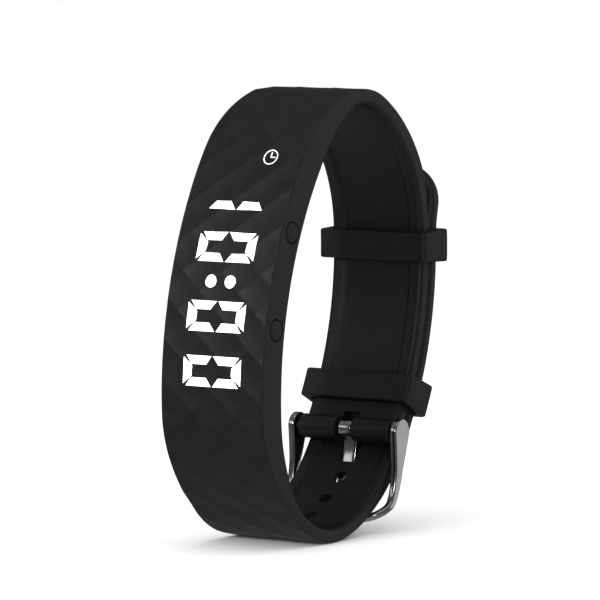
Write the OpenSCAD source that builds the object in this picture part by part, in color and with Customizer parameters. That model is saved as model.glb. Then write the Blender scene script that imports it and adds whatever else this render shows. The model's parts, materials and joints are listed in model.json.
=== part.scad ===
// Alarm wristband with a seven-segment display behind its skin. One moulded silicone band carries a
// sealed electronics capsule and closes with a tang buckle and two keeper loops.
//
// Frame: the origin is the middle of the wrist opening, X runs across the band, Z is up and the
// display faces -Y. Outlines of the loop lie in the Y-Z plane. Angles along the loop are directions
// of the outward normal, from +Y towards +Z: 0 is the back, 90 the top, 180 the front, 270 the bottom.
// Depths are counted outward from the skin side of the band.

/* [Band] */
// Width of the band across the display
front_w = 20; // [19.6:0.2:21]
// Width of both straps at the back
strap_w = 18.2; // [17.8:0.1:18.2]
// Thickness of the band at the display
front_t = 5.7; // [5.7:0.1:6.5]
// Thickness of the buckle strap, the inner layer
inner_strap_t = 2.35; // [2.25:0.05:2.4]
// Thickness of the hole strap, the outer layer
outer_strap_t = 2.2; // [2.1:0.05:2.25]
// Gap between the two layers
layer_gap = 0.15; // [0.1:0.05:0.2]
// Depth of the shallow channel along the skin side
channel_depth = 0.45; // [0.3:0.05:0.6]
// Width of that channel
channel_w = 13.6; // [12:0.2:14]

/* [Strap holes] */
// Diameter of a strap hole
hole_d = 2.3; // [2:0.1:2.4]
// Distance between holes along the strap
hole_pitch = 5.1; // [5:0.1:5.4]
// Free holes on the display side of the tang
holes_before = 3; // [2:1:3]
// Free holes on the tail side of the tang
holes_after = 7; // [4:1:7]

/* [Display] */
// Height of a digit along X, as it is turned a quarter turn
digit_len = 11.3; // [10.5:0.1:11.4]
// Width of a digit along the band
digit_wide = 4.95; // [4.6:0.05:5.1]
// Width of the long upright strokes
stroke_x = 1.75; // [1.5:0.05:1.9]
// Width of the short strokes
stroke_z = 1.4; // [1.2:0.05:1.5]
// Gap between neighbouring segments
segment_gap = 0.32; // [0.25:0.01:0.4]
// Diameter of a colon dot
dot_d = 2.1; // [1.8:0.1:2.2]

/* [Buttons] */
// Diameter of a button cap
button_d = 3.4; // [3.2:0.1:3.5]
// Travel of a button
button_travel = 0.35; // [0.25:0.05:0.35]

/* [Buckle] */
// Width of the buckle over its cheeks
buckle_w = 21.8; // [21.6:0.1:22.2]
// Thickness of a cheek
cheek_t = 1.2; // [1.1:0.05:1.2]
// Width of the tang
tang_w = 2.6; // [2:0.1:2.6]
// Thickness of the tang
tang_t = 0.9; // [0.8:0.05:0.9]
// Largest swing of the tang while it is buckled, half of it together with the frame
buckle_swing = 8; // [4:1:8]
// Outer diameter of the spring bar tube
bar_d = 1.3; // [1.3:0.05:1.35]

/* [Keepers] */
// Length of a keeper along the strap
keeper_len = 5.2; // [4.6:0.1:5.4]
// Wall thickness of a keeper
keeper_wall = 1.3; // [1.1:0.05:1.4]
// Gap between a keeper and the straps
keeper_gap = 0.15; // [0.1:0.05:0.2]

/* [Hidden] */
$fn = 48;
eps = 0.01;
far = 60;

// ---- The loop: a chain of tangent arcs -------------------------------------------------------
back_r = 55.5;
front_r = 67;
back_centre = [-34.7, 9.2];
lug_angle = -32.1;
bottom_angle = 285;
// Skin-side arcs from the lug up the back, over the top and down the front to the bottom, each as
// [radius, direction of the normal at its far end].
loop_arcs = [
    [back_r, 4], [24.6, 61.5], [8.4, 114], [22, 145], [front_r, 183], [25.5, 208],
    [14.6, bottom_angle],
];
front = 4;
bottom = 6;

function dir(a) = [cos(a), sin(a)];
function chain_centre(arcs, i) = i == 0 ? back_centre
    : chain_centre(arcs, i - 1) + (arcs[i - 1][0] - arcs[i][0]) * dir(arcs[i - 1][1]);

// The hole strap then runs onto a circle round the back centre, outside the buckle strap. One arc
// joins the bottom to that circle and touches both.
outer_r = back_r + inner_strap_t + layer_gap;
bottom_end = chain_centre(loop_arcs, bottom) + loop_arcs[bottom][0] * dir(bottom_angle);
bottom_reach = bottom_end - back_centre;
close_r = (outer_r * outer_r - bottom_reach * bottom_reach)
    / (2 * (outer_r - bottom_reach * dir(bottom_angle)));
close_offset = bottom_reach - close_r * dir(bottom_angle);
close_end = 360 + atan2(close_offset[1], close_offset[0]);

// Inside the upper keeper the tail starts to bend away from the wrist. The centre of that arc is on
// the outside, so its radius is negative and its angles fall.
lift_angle = 361;
tail_r = -26;
tail_end = 326;
band_arcs = concat(loop_arcs, [[close_r, close_end], [outer_r, lift_angle], [tail_r, tail_end]]);
close = 7;
tail = 9;
centres = [for (i = [0:tail]) chain_centre(band_arcs, i)];

arc_step = 1.5;
function arc_start(i) = i == 0 ? lug_angle : band_arcs[i - 1][1];
function arc_span(i) = band_arcs[i][1] - arc_start(i);
function arc_steps(i) = ceil(band_arcs[i][0] * arc_span(i) * PI / 180 / arc_step);
// Stations [arc, angle] from the start of one arc to the end of another.
function stations(first, last) = concat(
    [for (i = [first:last]) for (k = [0:arc_steps(i) - 1])
        [i, arc_start(i) + arc_span(i) * k / arc_steps(i)]],
    [[last, band_arcs[last][1]]]);
function clip(list, a0, a1) = [for (s = list) if (s[1] >= a0 && s[1] <= a1) s];
function at(s, depth) = centres[s[0]] + (band_arcs[s[0]][0] + depth) * dir(s[1]);

// Thickness of the band at some normal directions, with an eased run between each two.
thickness = [
    [5, inner_strap_t], [24, 3.1], [95, 2.8], [152, front_t], [178, front_t], [222, 2.7],
    [close_end, outer_strap_t],
];
thickness_rows = len(thickness) - 1;
function ease(f) = f * f * (3 - 2 * f);
function band_t(a) = let (
    place = lookup(a, [for (k = [0:thickness_rows]) [thickness[k][0], k]]),
    k = min(floor(place), thickness_rows - 1),
    f = ease(place - k)
) thickness[k][1] * (1 - f) + thickness[k + 1][1] * f;

front_centre = centres[front];
front_outer_r = front_r + front_t;

// ---- Placing helpers -------------------------------------------------------------------------
// Extrudes a Y-Z outline across the band.
module across(w) rotate([90, 0, 90]) linear_extrude(w, center = true) children();
// A bar along X at a point of the Y-Z plane.
module bar(at, r, x0, x1) translate([x0, at[0], at[1]]) rotate([0, 90, 0]) cylinder(r = r, h = x1 - x0);
// Revolves a profile given in [radius, x] about an X-wise axis through a Y-Z centre.
module around(centre, a0, a1)
    translate([0, centre[0], centre[1]]) rotate([90, 0, 90]) rotate([0, 0, a0])
        rotate_extrude(angle = a1 - a0) children();
// The same for a rectangle of radii r0..r1 and widths x0..x1.
module shell(centre, r0, r1, a0, a1, x0, x1)
    around(centre, a0, a1) translate([r0, x0]) square([r1 - r0, x1 - x0]);
// A local frame on the front of the band: z outward, x along X, y up the band.
module on_front(a, r, x = 0)
    translate([x, front_centre[0] + r * cos(a), front_centre[1] + r * sin(a)]) rotate([a - 90, 0, 0])
        children();
// The same on a strap, at a station.
module on_strap(s)
    translate([0, at(s, 0)[0], at(s, 0)[1]]) rotate([s[1] - 90, 0, 0]) children();
module wall(list, d0, d1 = undef)
    polygon(concat([for (s = list) at(s, d0)],
        [for (k = [len(list) - 1:-1:0]) at(list[k], is_undef(d1) ? band_t(list[k][1]) : d1)]));

// ---- Silicone band ---------------------------------------------------------------------------
wide_until_y = -12;
narrow_from_y = 6;
tail_w = 18.1;
tip_z = 16.5;
tip_h = 7;
lug_r = 2.05;
bar_depth = inner_strap_t - lug_r;
bar_at = back_centre + (back_r + bar_depth) * dir(lug_angle);
lug_bore_r = bar_d / 2 + 0.05;
notch_w = tang_w + 0.7;
hole_step_outer = hole_pitch / outer_r * 180 / PI;
hole_step_close = hole_pitch / close_r * 180 / PI;
tang_hole_past_close = 1.2;
hole_rows = concat(
    [for (n = [1:holes_before])
        [close, close_end - hole_step_close * (n - tang_hole_past_close / hole_pitch)]],
    [for (n = [1:holes_after])
        [tail - 1, close_end + hole_step_outer * (n + tang_hole_past_close / hole_pitch)]]);

module width_plan()
    linear_extrude(2 * far, center = true) polygon([
        [-front_w / 2, -far], [front_w / 2, -far], [front_w / 2, wide_until_y],
        [strap_w / 2, narrow_from_y], [strap_w / 2, far], [-strap_w / 2, far],
        [-strap_w / 2, narrow_from_y], [-front_w / 2, wide_until_y],
    ]);

module tail_plan()
    rotate([90, 0, 0]) linear_extrude(2 * far, center = true)
        polygon(concat([[-tail_w / 2, -far], [tail_w / 2, -far]],
            [for (a = [0:10:180]) [tail_w / 2 * cos(a), tip_z + tip_h * sin(a)]]));

module skin_channel(a0, a1)
    across(channel_w) wall(clip(stations(0, tail), a0, a1), -1, channel_depth);

module silicone_band() color("#202022") difference() {
    union() {
        intersection() {
            across(2 * far) wall(stations(0, close), 0);
            width_plan();
        }
        intersection() {
            across(2 * far) wall(stations(close + 1, tail), 0);
            width_plan();
            tail_plan();
        }
        bar(bar_at, lug_r, -strap_w / 2, strap_w / 2);
    }
    skin_channel(-26, 128);
    skin_channel(213, 328);
    capsule_pocket();
    lit_shapes(inlay_r0, front_outer_r + 1);
    for (a = button_angles) {
        at_button(a, button_d / 2 + button_side_gap, capsule_half - 1, far);
        at_button(a, flange_r + button_side_gap, capsule_half - 1, flange_x + 0.1);
    }
    for (s = hole_rows)
        on_strap(s) translate([0, 0, -layer_gap / 2]) cylinder(d = hole_d, h = outer_strap_t + 1);
    bar(bar_at, lug_bore_r, -far, far);
    translate([0, bar_at[0], bar_at[1]]) cube([notch_w, 4.6, 2 * lug_r + 1.4], center = true);
    for (a = [0, buckle_swing / 2, buckle_swing])
        swung(a) tang_shank(tang_w + 0.6, tang_t + 0.5);
}

// ---- Capsule ---------------------------------------------------------------------------------
capsule_a0 = 145.4;
capsule_a1 = 182;
lip = 0.7;
lip_a = 0.9;
capsule_half = 8.2;
capsule_wall = 0.9;
capsule_wall_a = 0.75;
fit_gap = 0.1;
flange_r0 = front_r + lip;
flange_t = 0.5;
seal_r0 = flange_r0 + flange_t;
seal_t = 0.3;
upper_r0 = seal_r0 + seal_t;
pocket_r1 = front_r + 4.9;
roof_t = 0.6;
roof_r0 = pocket_r1 - roof_t;
inside_half = capsule_half - capsule_wall;
inside_a0 = capsule_a0 + capsule_wall_a;
inside_a1 = capsule_a1 - capsule_wall_a;
mouth_half = 7.3;
boss_r = 1;
screw_r = 0.5;
screw_head_r = 0.75;
screw_head_t = 0.45;
screw_x = 6.2;
screw_angles = [capsule_a0 + 1.75, capsule_a1 - 1.75];

module capsule_box(r0, r1, half, trim = 0)
    shell(front_centre, r0, r1, capsule_a0 + trim, capsule_a1 - trim, -half, half);

module capsule_pocket() {
    capsule_box(flange_r0, pocket_r1, capsule_half + fit_gap, -fit_gap);
    capsule_box(front_r - 1, flange_r0 + eps, mouth_half + fit_gap, lip_a - fit_gap);
}

module at_screws()
    for (a = screw_angles) for (x = [-screw_x, screw_x]) on_front(a, 0, x) children();

module capsule_upper_shell() color("#2a2a2d") difference() {
    union() {
        difference() {
            capsule_box(upper_r0, pocket_r1, capsule_half);
            capsule_box(upper_r0 - 1, roof_r0, inside_half, capsule_wall_a);
        }
        at_screws() translate([0, 0, upper_r0]) cylinder(r = boss_r, h = roof_r0 + 0.2 - upper_r0);
    }
    at_screws() translate([0, 0, upper_r0 - 1]) cylinder(r = screw_r, h = roof_r0 - 0.3 - upper_r0 + 1);
    for (a = button_angles) at_button(a, stem_r + 0.1, inside_half - 1, far);
}

module capsule_lower_shell() color("#29292b") difference() {
    union() {
        capsule_box(front_r, flange_r0 + eps, mouth_half, lip_a);
        capsule_box(flange_r0, seal_r0, capsule_half);
    }
    at_screws() {
        translate([0, 0, front_r - 1]) cylinder(r = screw_r + 0.05, h = 4);
        translate([0, 0, front_r - 1]) cylinder(r = screw_head_r + 0.05, h = 1 + screw_head_t);
    }
    for (a = contact_angles) on_front(a, front_r - 1) cylinder(r = contact_r, h = 4);
}

module capsule_seal() color("#8f3b2e") difference() {
    capsule_box(seal_r0, upper_r0, capsule_half);
    capsule_box(seal_r0 - 1, upper_r0 + 1, inside_half, capsule_wall_a);
    at_screws() translate([0, 0, seal_r0 - 1]) cylinder(r = boss_r, h = 3);
}

module capsule_screws() color("#b9bcc0") at_screws() translate([0, 0, front_r]) difference() {
    union() {
        cylinder(r = screw_head_r, h = screw_head_t);
        cylinder(r = screw_r, h = 3.6);
    }
    for (turn = [0, 90]) rotate([0, 0, turn]) cube([1.1, 0.25, 0.4], center = true);
}

// ---- Display ---------------------------------------------------------------------------------
display_a = 164.7;
digit_angles = [for (step = [-11.5, -4.5, 4.5, 11.5]) display_a + step];
dot_x = 1.9;
clock_a = 147.6;
clock_x = 3.65;
clock_d = 2.7;
clock_line = 0.24;
tongue_half = 1.5;
board_x0 = -7.1;
board_x1 = 5.8;
board_a0 = 149.2;
board_a1 = 179.1;
guide_r0 = roof_r0 - 0.8;
display_board_r0 = guide_r0 - 0.4;
led_t = 0.35;
// The lit shapes are translucent inlays in the outer skin.
inlay_r0 = front_outer_r - 0.35;

// A short stroke of a digit, at the upper left: its long edge lies on the outside.
module short_stroke() {
    x0 = -digit_len / 2 + segment_gap * 1.5;
    x1 = -segment_gap / 2;
    y1 = digit_wide / 2;
    slant = stroke_z * 0.75;
    polygon([[x0, y1], [x1, y1], [x1 - slant, y1 - stroke_z], [x0 + slant, y1 - stroke_z]]);
}
// A long stroke, at the left.
module long_stroke() {
    x0 = -digit_len / 2;
    y1 = digit_wide / 2 - segment_gap;
    polygon([[x0, -y1], [x0 + stroke_x, -y1 + stroke_z], [x0 + stroke_x, y1 - stroke_z], [x0, y1]]);
}
module bottom_strokes() mirror([0, 1]) {
    short_stroke();
    mirror([1, 0]) short_stroke();
}
module zero() {
    bottom_strokes();
    mirror([0, 1]) bottom_strokes();
    long_stroke();
    mirror([1, 0]) long_stroke();
}
module digits(r0, r1) {
    on_front(digit_angles[0], r0) linear_extrude(r1 - r0) bottom_strokes();
    for (k = [1:3]) on_front(digit_angles[k], r0) linear_extrude(r1 - r0) zero();
}
module colon(r0, r1)
    for (x = [-dot_x, dot_x]) on_front(display_a, r0, x) cylinder(d = dot_d, h = r1 - r0);
module clock(r0, r1) on_front(clock_a, r0, clock_x) {
    difference() {
        cylinder(d = clock_d, h = r1 - r0);
        translate([0, 0, -1]) cylinder(d = clock_d - 2 * clock_line, h = r1 - r0 + 2);
    }
    translate([-clock_line / 2, -clock_line / 2, 0]) cube([clock_line, 1.05, r1 - r0]);
    translate([-clock_line / 2, -clock_line / 2, 0]) cube([1.0, clock_line, r1 - r0]);
}
module lit_shapes(r0, r1) {
    digits(r0, r1);
    colon(r0, r1);
    clock(r0, r1);
}
module display_digits() color("white") digits(inlay_r0, front_outer_r);
module display_colon() color("white") colon(inlay_r0, front_outer_r);
module clock_icon() color("white") clock(inlay_r0, front_outer_r);

// The plate under the digits, with a narrow tongue up to the clock.
module display_plate(r0, r1) difference() {
    shell(front_centre, r0, r1, inside_a0 + 0.1, board_a1, board_x0, board_x1);
    shell(front_centre, r0 - 1, r1 + 1, inside_a0 - 2, board_a0, board_x0 - 1, clock_x - tongue_half);
    shell(front_centre, r0 - 1, r1 + 1, inside_a0 - 2, board_a0, clock_x + tongue_half, board_x1 + 1);
}
module light_guide() color("#e8e6df") difference() {
    display_plate(guide_r0, roof_r0);
    digits(guide_r0 - 1, roof_r0 + 1);
    colon(guide_r0 - 1, roof_r0 + 1);
    on_front(clock_a, guide_r0 - 1, clock_x) cylinder(d = clock_d - 0.7, h = 3);
}
module display_board() color("#1f4a33") display_plate(display_board_r0, guide_r0);

// One chip under each lit segment.
module display_leds() color("#f2e7a0") {
    for (k = [1:3]) for (side = [-1, 1]) {
        led(digit_angles[k], side * (digit_len / 2 - 0.9), 0);
        led(digit_angles[k], side * digit_len / 4, digit_wide / 2 - 0.7);
    }
    for (k = [0:3]) for (side = [-1, 1])
        led(digit_angles[k], side * digit_len / 4, -digit_wide / 2 + 0.7);
    for (x = [-dot_x, dot_x]) led(display_a, x, 0);
    led(clock_a, clock_x, 0);
}
module led(a, x, y)
    on_front(a, guide_r0, x) translate([0, y, led_t / 2 - 0.02]) cube([0.9, 0.5, led_t], center = true);

// ---- Electronics under the display -----------------------------------------------------------
inner_floor_r = seal_r0;
main_board_r0 = display_board_r0 - 0.75;
main_board_r1 = main_board_r0 + 0.5;
main_a0 = 149.4;
main_a1 = 156;
contact_angles = [150.6, 154.6];
contact_r = 0.9;
battery_a0 = 164;
battery_a1 = 179;
battery_x0 = -7;
battery_x1 = 4.8;
battery_r0 = inner_floor_r + 0.1;
battery_r1 = battery_r0 + 1.5;
motor_a = 160;
motor_x = -2.2;
motor_r = 3.5;
motor_h = 1.7;
motor_skin = 0.2;
shaft_r = 0.3;
chip_t = 0.7;
solder_gap = 0.04;

module main_board() color("#22553b")
    shell(front_centre, main_board_r0, main_board_r1, main_a0, main_a1, -6.6, 6.6);
module board_chips() color("#303236") {
    chip(152.6, -3.6, 3.4, 3.4);
    chip(151.2, 3.6, 2, 2.6);
    chip(154.4, 3.4, 3, 1.6);
    chip(152.6, 6, 0.8, 3);
}
module chip(a, x, w, l)
    on_front(a, main_board_r0 - solder_gap - chip_t, x) translate([-w / 2, -l / 2, 0]) cube([w, l, chip_t]);

// The link rises from the main board to the display board.
module flex_link() color("#b8702a") {
    shell(front_centre, main_board_r1, main_board_r1 + 0.12, 155, 156.6, -3, 3);
    shell(front_centre, main_board_r1, display_board_r0, 156.5, 156.6, -3, 3);
}

module battery_cell() color("#9aa3ad")
    shell(front_centre, battery_r0, battery_r1, battery_a0, battery_a1, battery_x0, battery_x1);
module battery_pad() color("#3a3a3a")
    shell(front_centre, battery_r1, display_board_r0, battery_a0 + 1, battery_a1 - 1, -6, 4);

module on_motor() on_front(motor_a, inner_floor_r + 0.08, motor_x) children();
module motor_base() color("#c7c9cc") on_motor() {
    cylinder(r = motor_r, h = motor_skin);
    cylinder(r = shaft_r, h = motor_h - motor_skin);
}
module motor_case() color("#d2d4d7") on_motor() difference() {
    translate([0, 0, motor_skin]) cylinder(r = motor_r, h = motor_h - motor_skin);
    translate([0, 0, motor_skin - 1]) cylinder(r = motor_r - motor_skin, h = motor_h - 2 * motor_skin + 1);
}
// The eccentric weight: a half disc on a hub.
module motor_rotor() color("#8b7a55") on_motor() translate([0, 0, motor_skin + 0.15]) difference() {
    union() {
        cylinder(r = 0.9, h = 1.05);
        intersection() {
            cylinder(r = motor_r - motor_skin - 0.2, h = 1.05);
            translate([-motor_r, 0, 0]) cube([2 * motor_r, motor_r, 2]);
        }
    }
    translate([0, 0, -1]) cylinder(r = shaft_r + 0.03, h = 4);
}

module charging_contacts() color("#d9b25a") for (a = contact_angles)
    on_front(a, front_r) cylinder(r = contact_r, h = main_board_r0 - front_r);

// ---- Buttons and switches --------------------------------------------------------------------
button_angles = [157.2, 170.4];
button_r = front_r + 2.65;
button_side_gap = 0.1;
button_proud = 0.15;
flange_r = button_d / 2 + 0.35;
flange_x0 = capsule_half + 0.1 + button_travel;
flange_x = flange_x0 + 0.4;
stem_r = 0.7;
stem_x0 = 7.05;
plunger_r = 0.5;
plunger_x0 = stem_x0 - 0.85;
switch_x0 = 5.9;
switch_x1 = 6.65;
well_x0 = plunger_x0 - button_travel - 0.05;

function button_at(a) = front_centre + button_r * dir(a);
module at_button(a, r, x0, x1) bar(button_at(a), r, x0, x1);

module switch_body(a) difference() {
    on_front(a, button_r) translate([(switch_x0 + switch_x1) / 2, 0, 0])
        cube([switch_x1 - switch_x0, 2.2, 2.2], center = true);
    at_button(a, plunger_r + 0.05, well_x0, far);
}
module plunger(a) at_button(a, plunger_r, plunger_x0, stem_x0);
module button_cap(a) {
    at_button(a, stem_r, stem_x0, flange_x0 + eps);
    at_button(a, flange_r, flange_x0, flange_x);
    at_button(a, button_d / 2, flange_x0, front_w / 2);
    ball_r = (button_d * button_d / 4 + button_proud * button_proud) / (2 * button_proud);
    intersection() {
        at_button(a, button_d / 2, front_w / 2 - eps, front_w / 2 + 1);
        translate([front_w / 2 + button_proud - ball_r, button_at(a)[0], button_at(a)[1]])
            sphere(r = ball_r, $fn = 180);
    }
}
module switch_upper() color("#bfc3c8") switch_body(button_angles[0]);
module switch_lower() color("#bfc3c8") switch_body(button_angles[1]);
module switch_upper_plunger() color("#6d2c22") plunger(button_angles[0]);
module switch_lower_plunger() color("#6d2c22") plunger(button_angles[1]);
module button_upper() color("#262628") button_cap(button_angles[0]);
module button_lower() color("#262628") button_cap(button_angles[1]);

// ---- Spring bar ------------------------------------------------------------------------------
cheek_x0 = buckle_w / 2 - cheek_t;
tube_half = cheek_x0 - 0.5;
tube_bore_r = bar_d / 2 - 0.15;
pin_r = tube_bore_r - 0.05;
pin_x0 = 6.8;
pin_x1 = cheek_x0 + 0.85;
coil_r = 0.3;
coil_wire_r = 0.09;
coil_turns = 8;
coil_rings = 8 * coil_turns;
coil_sides = 5;

module spring_bar_tube() color("#c9cbce") difference() {
    bar(bar_at, bar_d / 2, -tube_half, tube_half);
    bar(bar_at, tube_bore_r, -far, far);
}
module spring_bar_pin_left() color("#d8dadc") bar(bar_at, pin_r, -pin_x1, -pin_x0);
module spring_bar_pin_right() color("#d8dadc") bar(bar_at, pin_r, pin_x0, pin_x1);
// The coil pushes the two pins apart: a thin tube swept along a helix.
function coil_point(k, j) = let (
    turn = 360 * coil_turns * k / coil_rings,
    side = 360 * j / coil_sides,
    r = coil_r + coil_wire_r * cos(side)
) [
    -pin_x0 + 0.1 + (2 * pin_x0 - 0.2) * k / coil_rings + coil_wire_r * sin(side),
    bar_at[0] + r * cos(turn), bar_at[1] + r * sin(turn),
];
module spring_bar_coil() color("#a9abae") polyhedron(
    points = [for (k = [0:coil_rings]) for (j = [0:coil_sides - 1]) coil_point(k, j)],
    faces = concat(
        [for (k = [0:coil_rings - 1]) for (j = [0:coil_sides - 1]) for (half = [0, 1]) let (
            a = k * coil_sides + j,
            b = k * coil_sides + (j + 1) % coil_sides
        ) half == 0 ? [a, a + coil_sides, b + coil_sides] : [a, b + coil_sides, b]],
        [[for (j = [0:coil_sides - 1]) j]],
        [[for (j = [coil_sides - 1:-1:0]) coil_rings * coil_sides + j]]));

// ---- Buckle ----------------------------------------------------------------------------------
eye_r = 2.2;
eye_bore_r = pin_r + 0.05;
// The crossbar lies outside the hole strap, on the closing arc, and bends round into both cheeks.
crossbar_r = 0.6;
crossbar_a = close_end - 24.5;
crossbar_at = centres[close]
    + (close_r + outer_strap_t + 0.1 + layer_gap + crossbar_r) * dir(crossbar_a);
corner_r = 4;
corner_x = cheek_x0 + cheek_t / 2 - corner_r;
corner_bar_r = crossbar_r - 0.04;
cheek_mid = bar_at + [-0.85, -6];
cheek_mid_r = 1.1;
cheek_end = crossbar_at + corner_r * dir(crossbar_a + 90);
cheek_end_r = 0.8;
tang_loop_r = bar_d / 2 + 0.07;
tang_eye_r = 1.5;
tang_r = 17.5;
// The shank is an arc from beside the bar to the far side of the crossbar.
tang_tip = crossbar_at + (crossbar_r + tang_t / 2 - 0.3) * dir(crossbar_a + 5.5);
tang_root = bar_at + [0.95, -0.6];
tang_chord = tang_root - tang_tip;
tang_mid = (tang_root + tang_tip) / 2;
tang_half = norm(tang_chord) / 2;
tang_drop = sqrt(tang_r * tang_r - tang_half * tang_half);
tang_centre = tang_mid + tang_drop * [-tang_chord[1], tang_chord[0]] / norm(tang_chord);
tang_a0 = atan2(tang_tip[1] - tang_centre[1], tang_tip[0] - tang_centre[0]) - 3;
tang_a1 = atan2(tang_root[1] - tang_centre[1], tang_root[0] - tang_centre[0]);

module swung(a)
    translate([0, bar_at[0], bar_at[1]]) rotate([a, 0, 0])
        translate([0, -bar_at[0], -bar_at[1]]) children();

module tang_shank(w, t)
    shell(tang_centre, tang_r - t / 2, tang_r + t / 2, tang_a0, tang_a1, -w / 2, w / 2);

module spot(at, r) translate(at) circle(r = r);

module cheek_outline() {
    hull() {
        spot(bar_at, eye_r);
        spot(cheek_mid, cheek_mid_r);
    }
    hull() {
        spot(cheek_mid, cheek_mid_r);
        spot(cheek_end, cheek_end_r);
    }
}

// A quarter bend from a cheek to the crossbar, in the plane that touches the strap under the crossbar.
module frame_corner(side)
    translate([side * corner_x, cheek_end[0], cheek_end[1]]) rotate([crossbar_a - 90, 0, 0])
        rotate([0, 0, side > 0 ? 0 : 90])
            rotate_extrude(angle = 90) translate([corner_r, 0]) circle(r = corner_bar_r);

module buckle_frame() color("#d5d7d9") difference() {
    union() {
        difference() {
            across(buckle_w) cheek_outline();
            across(2 * cheek_x0) square(4 * far, center = true);
        }
        for (side = [-1, 1]) frame_corner(side);
        bar(crossbar_at, crossbar_r, -corner_x - 0.1, corner_x + 0.1);
    }
    bar(bar_at, eye_bore_r, -pin_x1 - 0.05, pin_x1 + 0.05);
    tang_shank(tang_w + 0.4, tang_t + 0.2);
}

module buckle_tang() color("#dcdee0") difference() {
    union() {
        bar(bar_at, tang_eye_r, -tang_w / 2, tang_w / 2);
        tang_shank(tang_w, tang_t);
    }
    bar(bar_at, tang_loop_r, -far, far);
}

// ---- Keepers ---------------------------------------------------------------------------------
keeper_angles = [0.6, -24.4];
keeper_half_a = keeper_len / 2 / (back_r + inner_strap_t) * 180 / PI;
keeper_r0 = back_r - keeper_gap;
keeper_r1 = outer_r + outer_strap_t + keeper_gap;
keeper_half = strap_w / 2 + keeper_gap + 0.1;
keeper_bevel = 0.9;

// Cross-section in [radius, x], with its outer corners cut.
module keeper_section() difference() {
    r0 = keeper_r0 - keeper_wall;
    r1 = keeper_r1 + keeper_wall;
    half = keeper_half + keeper_wall;
    polygon([
        [r0, -half], [r1 - keeper_bevel, -half], [r1, -half + keeper_bevel], [r1, half - keeper_bevel],
        [r1 - keeper_bevel, half], [r0, half],
    ]);
    translate([keeper_r0, -keeper_half]) square([keeper_r1 - keeper_r0, 2 * keeper_half]);
}
module keeper(a) around(back_centre, a - keeper_half_a, a + keeper_half_a) keeper_section();
module keeper_upper() color("#242426") keeper(keeper_angles[0]);
module keeper_lower() color("#242426") keeper(keeper_angles[1]);

silicone_band();
capsule_upper_shell();
capsule_lower_shell();
capsule_seal();
capsule_screws();
light_guide();
display_digits();
display_colon();
clock_icon();
display_leds();
display_board();
main_board();
board_chips();
flex_link();
battery_cell();
battery_pad();
motor_case();
motor_base();
motor_rotor();
charging_contacts();
switch_upper();
switch_lower();
switch_upper_plunger();
switch_lower_plunger();
button_upper();
button_lower();
spring_bar_tube();
spring_bar_pin_left();
spring_bar_pin_right();
spring_bar_coil();
buckle_frame();
buckle_tang();
keeper_upper();
keeper_lower();
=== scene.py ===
"""The looks of the alarm wristband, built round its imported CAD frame.

Frame: metres, X across the band, Z up, display facing -Y, origin in the middle of the wrist opening.
The loop's outline is worked out in millimetres in the Y-Z plane, as in the CAD source: an angle is the
direction of the outward normal, from +Y towards +Z, and a depth is counted outward from the skin side.
"""
import json
import math

import bmesh
import bpy
import numpy as np
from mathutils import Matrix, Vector


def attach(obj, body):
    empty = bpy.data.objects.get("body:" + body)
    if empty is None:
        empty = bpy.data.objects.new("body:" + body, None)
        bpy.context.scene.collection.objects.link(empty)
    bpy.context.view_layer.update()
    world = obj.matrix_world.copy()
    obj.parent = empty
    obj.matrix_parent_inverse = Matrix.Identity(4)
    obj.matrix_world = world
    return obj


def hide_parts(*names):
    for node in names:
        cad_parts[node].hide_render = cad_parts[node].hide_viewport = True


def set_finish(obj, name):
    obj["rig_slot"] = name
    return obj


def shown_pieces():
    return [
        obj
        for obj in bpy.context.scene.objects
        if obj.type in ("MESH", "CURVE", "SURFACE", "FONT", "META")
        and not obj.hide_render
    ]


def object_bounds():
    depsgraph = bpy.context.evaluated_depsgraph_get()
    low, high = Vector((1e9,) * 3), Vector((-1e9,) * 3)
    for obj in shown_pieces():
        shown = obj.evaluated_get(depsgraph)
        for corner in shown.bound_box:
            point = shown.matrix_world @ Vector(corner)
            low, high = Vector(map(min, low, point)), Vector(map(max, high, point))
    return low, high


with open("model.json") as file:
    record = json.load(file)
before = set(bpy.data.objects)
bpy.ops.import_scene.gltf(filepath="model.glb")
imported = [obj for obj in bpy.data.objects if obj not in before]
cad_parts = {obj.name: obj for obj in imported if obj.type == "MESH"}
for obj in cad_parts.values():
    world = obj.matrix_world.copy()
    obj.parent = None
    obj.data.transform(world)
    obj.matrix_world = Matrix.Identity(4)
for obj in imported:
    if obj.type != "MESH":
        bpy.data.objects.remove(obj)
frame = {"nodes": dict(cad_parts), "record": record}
cad_box = [list(corner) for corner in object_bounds()]
MM = 0.001

# ---- The loop --------------------------------------------------------------------------------
BACK_CENTRE = np.array([-34.7, 9.2])
BACK_R = 55.5
LUG_ANGLE = -32.1
INNER_STRAP_T = 2.35
OUTER_STRAP_T = 2.2
LAYER_GAP = 0.15
OUTER_R = BACK_R + INNER_STRAP_T + LAYER_GAP
LOOP_ARCS = [(BACK_R, 4), (24.6, 61.5), (8.4, 114), (22, 145), (67, 183), (25.5, 208), (14.6, 285)]
# The tail bends away from the wrist: its centre is outside, and its normal turns back by 35 degrees.
LIFT_ANGLE = 361
TAIL_R = -26
TAIL_END = LIFT_ANGLE + 35
# Past this angle only the tail is left, and its height grows with the angle.
TAIL_FROM = 345
# Place of the display front in the list of arcs, and the radii of its two faces.
FRONT = 4
FRONT_R = 67
FRONT_OUTER_R = 72.7
DISPLAY_A = 164.7


def direction(angle):
    """Unit Y-Z vectors at angles in degrees."""
    a = np.radians(angle)
    return np.stack([np.cos(a), np.sin(a)], -1)


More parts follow.
